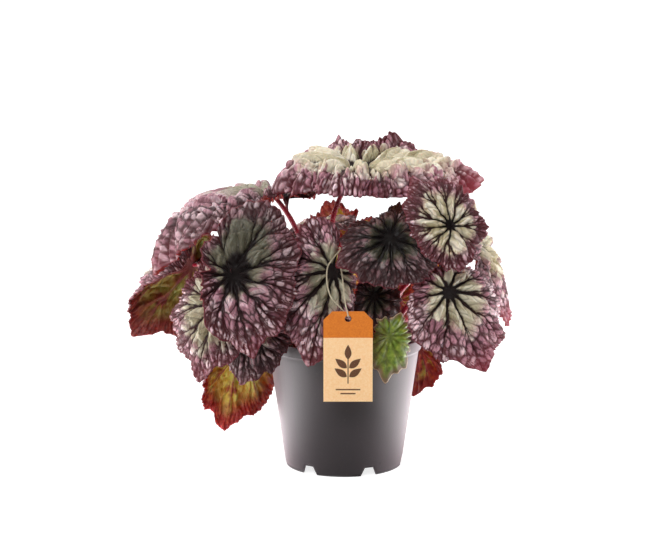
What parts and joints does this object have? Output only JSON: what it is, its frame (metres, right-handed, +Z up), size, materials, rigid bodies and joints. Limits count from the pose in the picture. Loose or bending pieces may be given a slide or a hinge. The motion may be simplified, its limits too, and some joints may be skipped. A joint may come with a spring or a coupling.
{
  "type": "potted rex begonia",
  "caption": "Rex begonia with heart-shaped, puckered leaves on red stalks, in a round plastic nursery pot with a card hang tag.",
  "frame": {"origin": "on the surface the pot stands on, under the middle of the outline of the whole plant; the pot's axis is 20.5 mm to its right and 14.9 mm in front of it", "axes": "+Z up the pot's axis, -Y towards the front, the side with the tag, and +X to the right as seen from the front"},
  "size_m": [0.3006, 0.2169, 0.253],
  "materials": {
    "blade": "satin",
    "young_blade": "satin",
    "stalk": "satin",
    "rhizome": "matte",
    "soil": "matte",
    "pot": "satin",
    "tag": "matte",
    "loop": "satin"
  },
  "bodies": {
    "root": {"blade_crown": "blade", "stalk_crown": "stalk", "blade_under_crown": "blade", "stalk_under_crown": "stalk", "blade_arch_left": "blade", "stalk_arch_left": "stalk", "blade_hang_left": "blade", "stalk_hang_left": "stalk", "blade_front_left": "blade", "stalk_front_left": "stalk", "blade_big_left": "blade", "stalk_big_left": "stalk", "blade_low_left": "blade", "stalk_low_left": "stalk", "blade_under_left": "blade", "stalk_under_left": "stalk", "blade_centre": "blade", "stalk_centre": "stalk", "blade_right_inner": "blade", "stalk_right_inner": "stalk", "blade_rosette": "blade", "stalk_rosette": "stalk", "blade_far_right": "blade", "stalk_far_right": "stalk", "blade_front_right": "blade", "stalk_front_right": "stalk", "blade_young": "young_blade", "stalk_young": "stalk", "blade_under_right": "blade", "stalk_under_right": "stalk", "blade_inner_right": "blade", "stalk_inner_right": "stalk", "blade_back_left": "blade", "stalk_back_left": "stalk", "blade_back_centre": "blade", "stalk_back_centre": "stalk", "blade_back_right": "blade", "stalk_back_right": "stalk", "blade_back_low_left": "blade", "stalk_back_low_left": "stalk", "blade_back_low_right": "blade", "stalk_back_low_right": "stalk", "rhizome": "rhizome", "soil": "soil", "pot": "pot", "tag": "tag", "tag_loop": "loop"}
  },
  "joints": []
}
